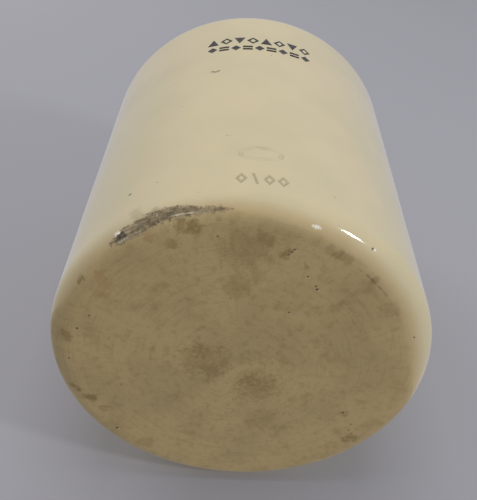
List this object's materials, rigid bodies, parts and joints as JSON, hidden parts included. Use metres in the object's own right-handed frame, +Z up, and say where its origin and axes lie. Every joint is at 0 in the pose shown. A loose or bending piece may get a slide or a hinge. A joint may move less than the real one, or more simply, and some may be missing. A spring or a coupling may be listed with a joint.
{
  "type": "ointment pot",
  "caption": "Cylindrical glazed stoneware pot with rounded shoulder, tie-down groove, rolled rim, rubber seal and knobbed lift-off lid; stores ointment.",
  "frame": {"origin": "centre of the flat underside that the pot stands on", "axes": "+Z up along the pot's axis to the lid's knob; -Y is the side that carries the print and the impressed marks"},
  "size_m": [0.114, 0.114, 0.1727],
  "materials": {
    "pot_glaze": "glossy cream stoneware glaze, bare brown base",
    "lid_glaze": "glossy cream stoneware glaze, bare brown seat",
    "ring_rubber": "matt aged red-brown rubber"
  },
  "bodies": {
    "pot": {"pot_body": "pot_glaze"},
    "ring": {"sealing_ring": "ring_rubber"},
    "lid": {"lid": "lid_glaze"}
  },
  "joints": [
    {"name": "lid_lift", "type": "slide", "parent": "pot", "child": "ring", "axis": [0, 0, 1], "range_m": [0, 0.08]},
    {"name": "lid_turn", "type": "hinge", "parent": "ring", "child": "lid", "pos_m": [0, 0, 0.152], "axis": [0, 0, 1], "continuous": true}
  ]
}
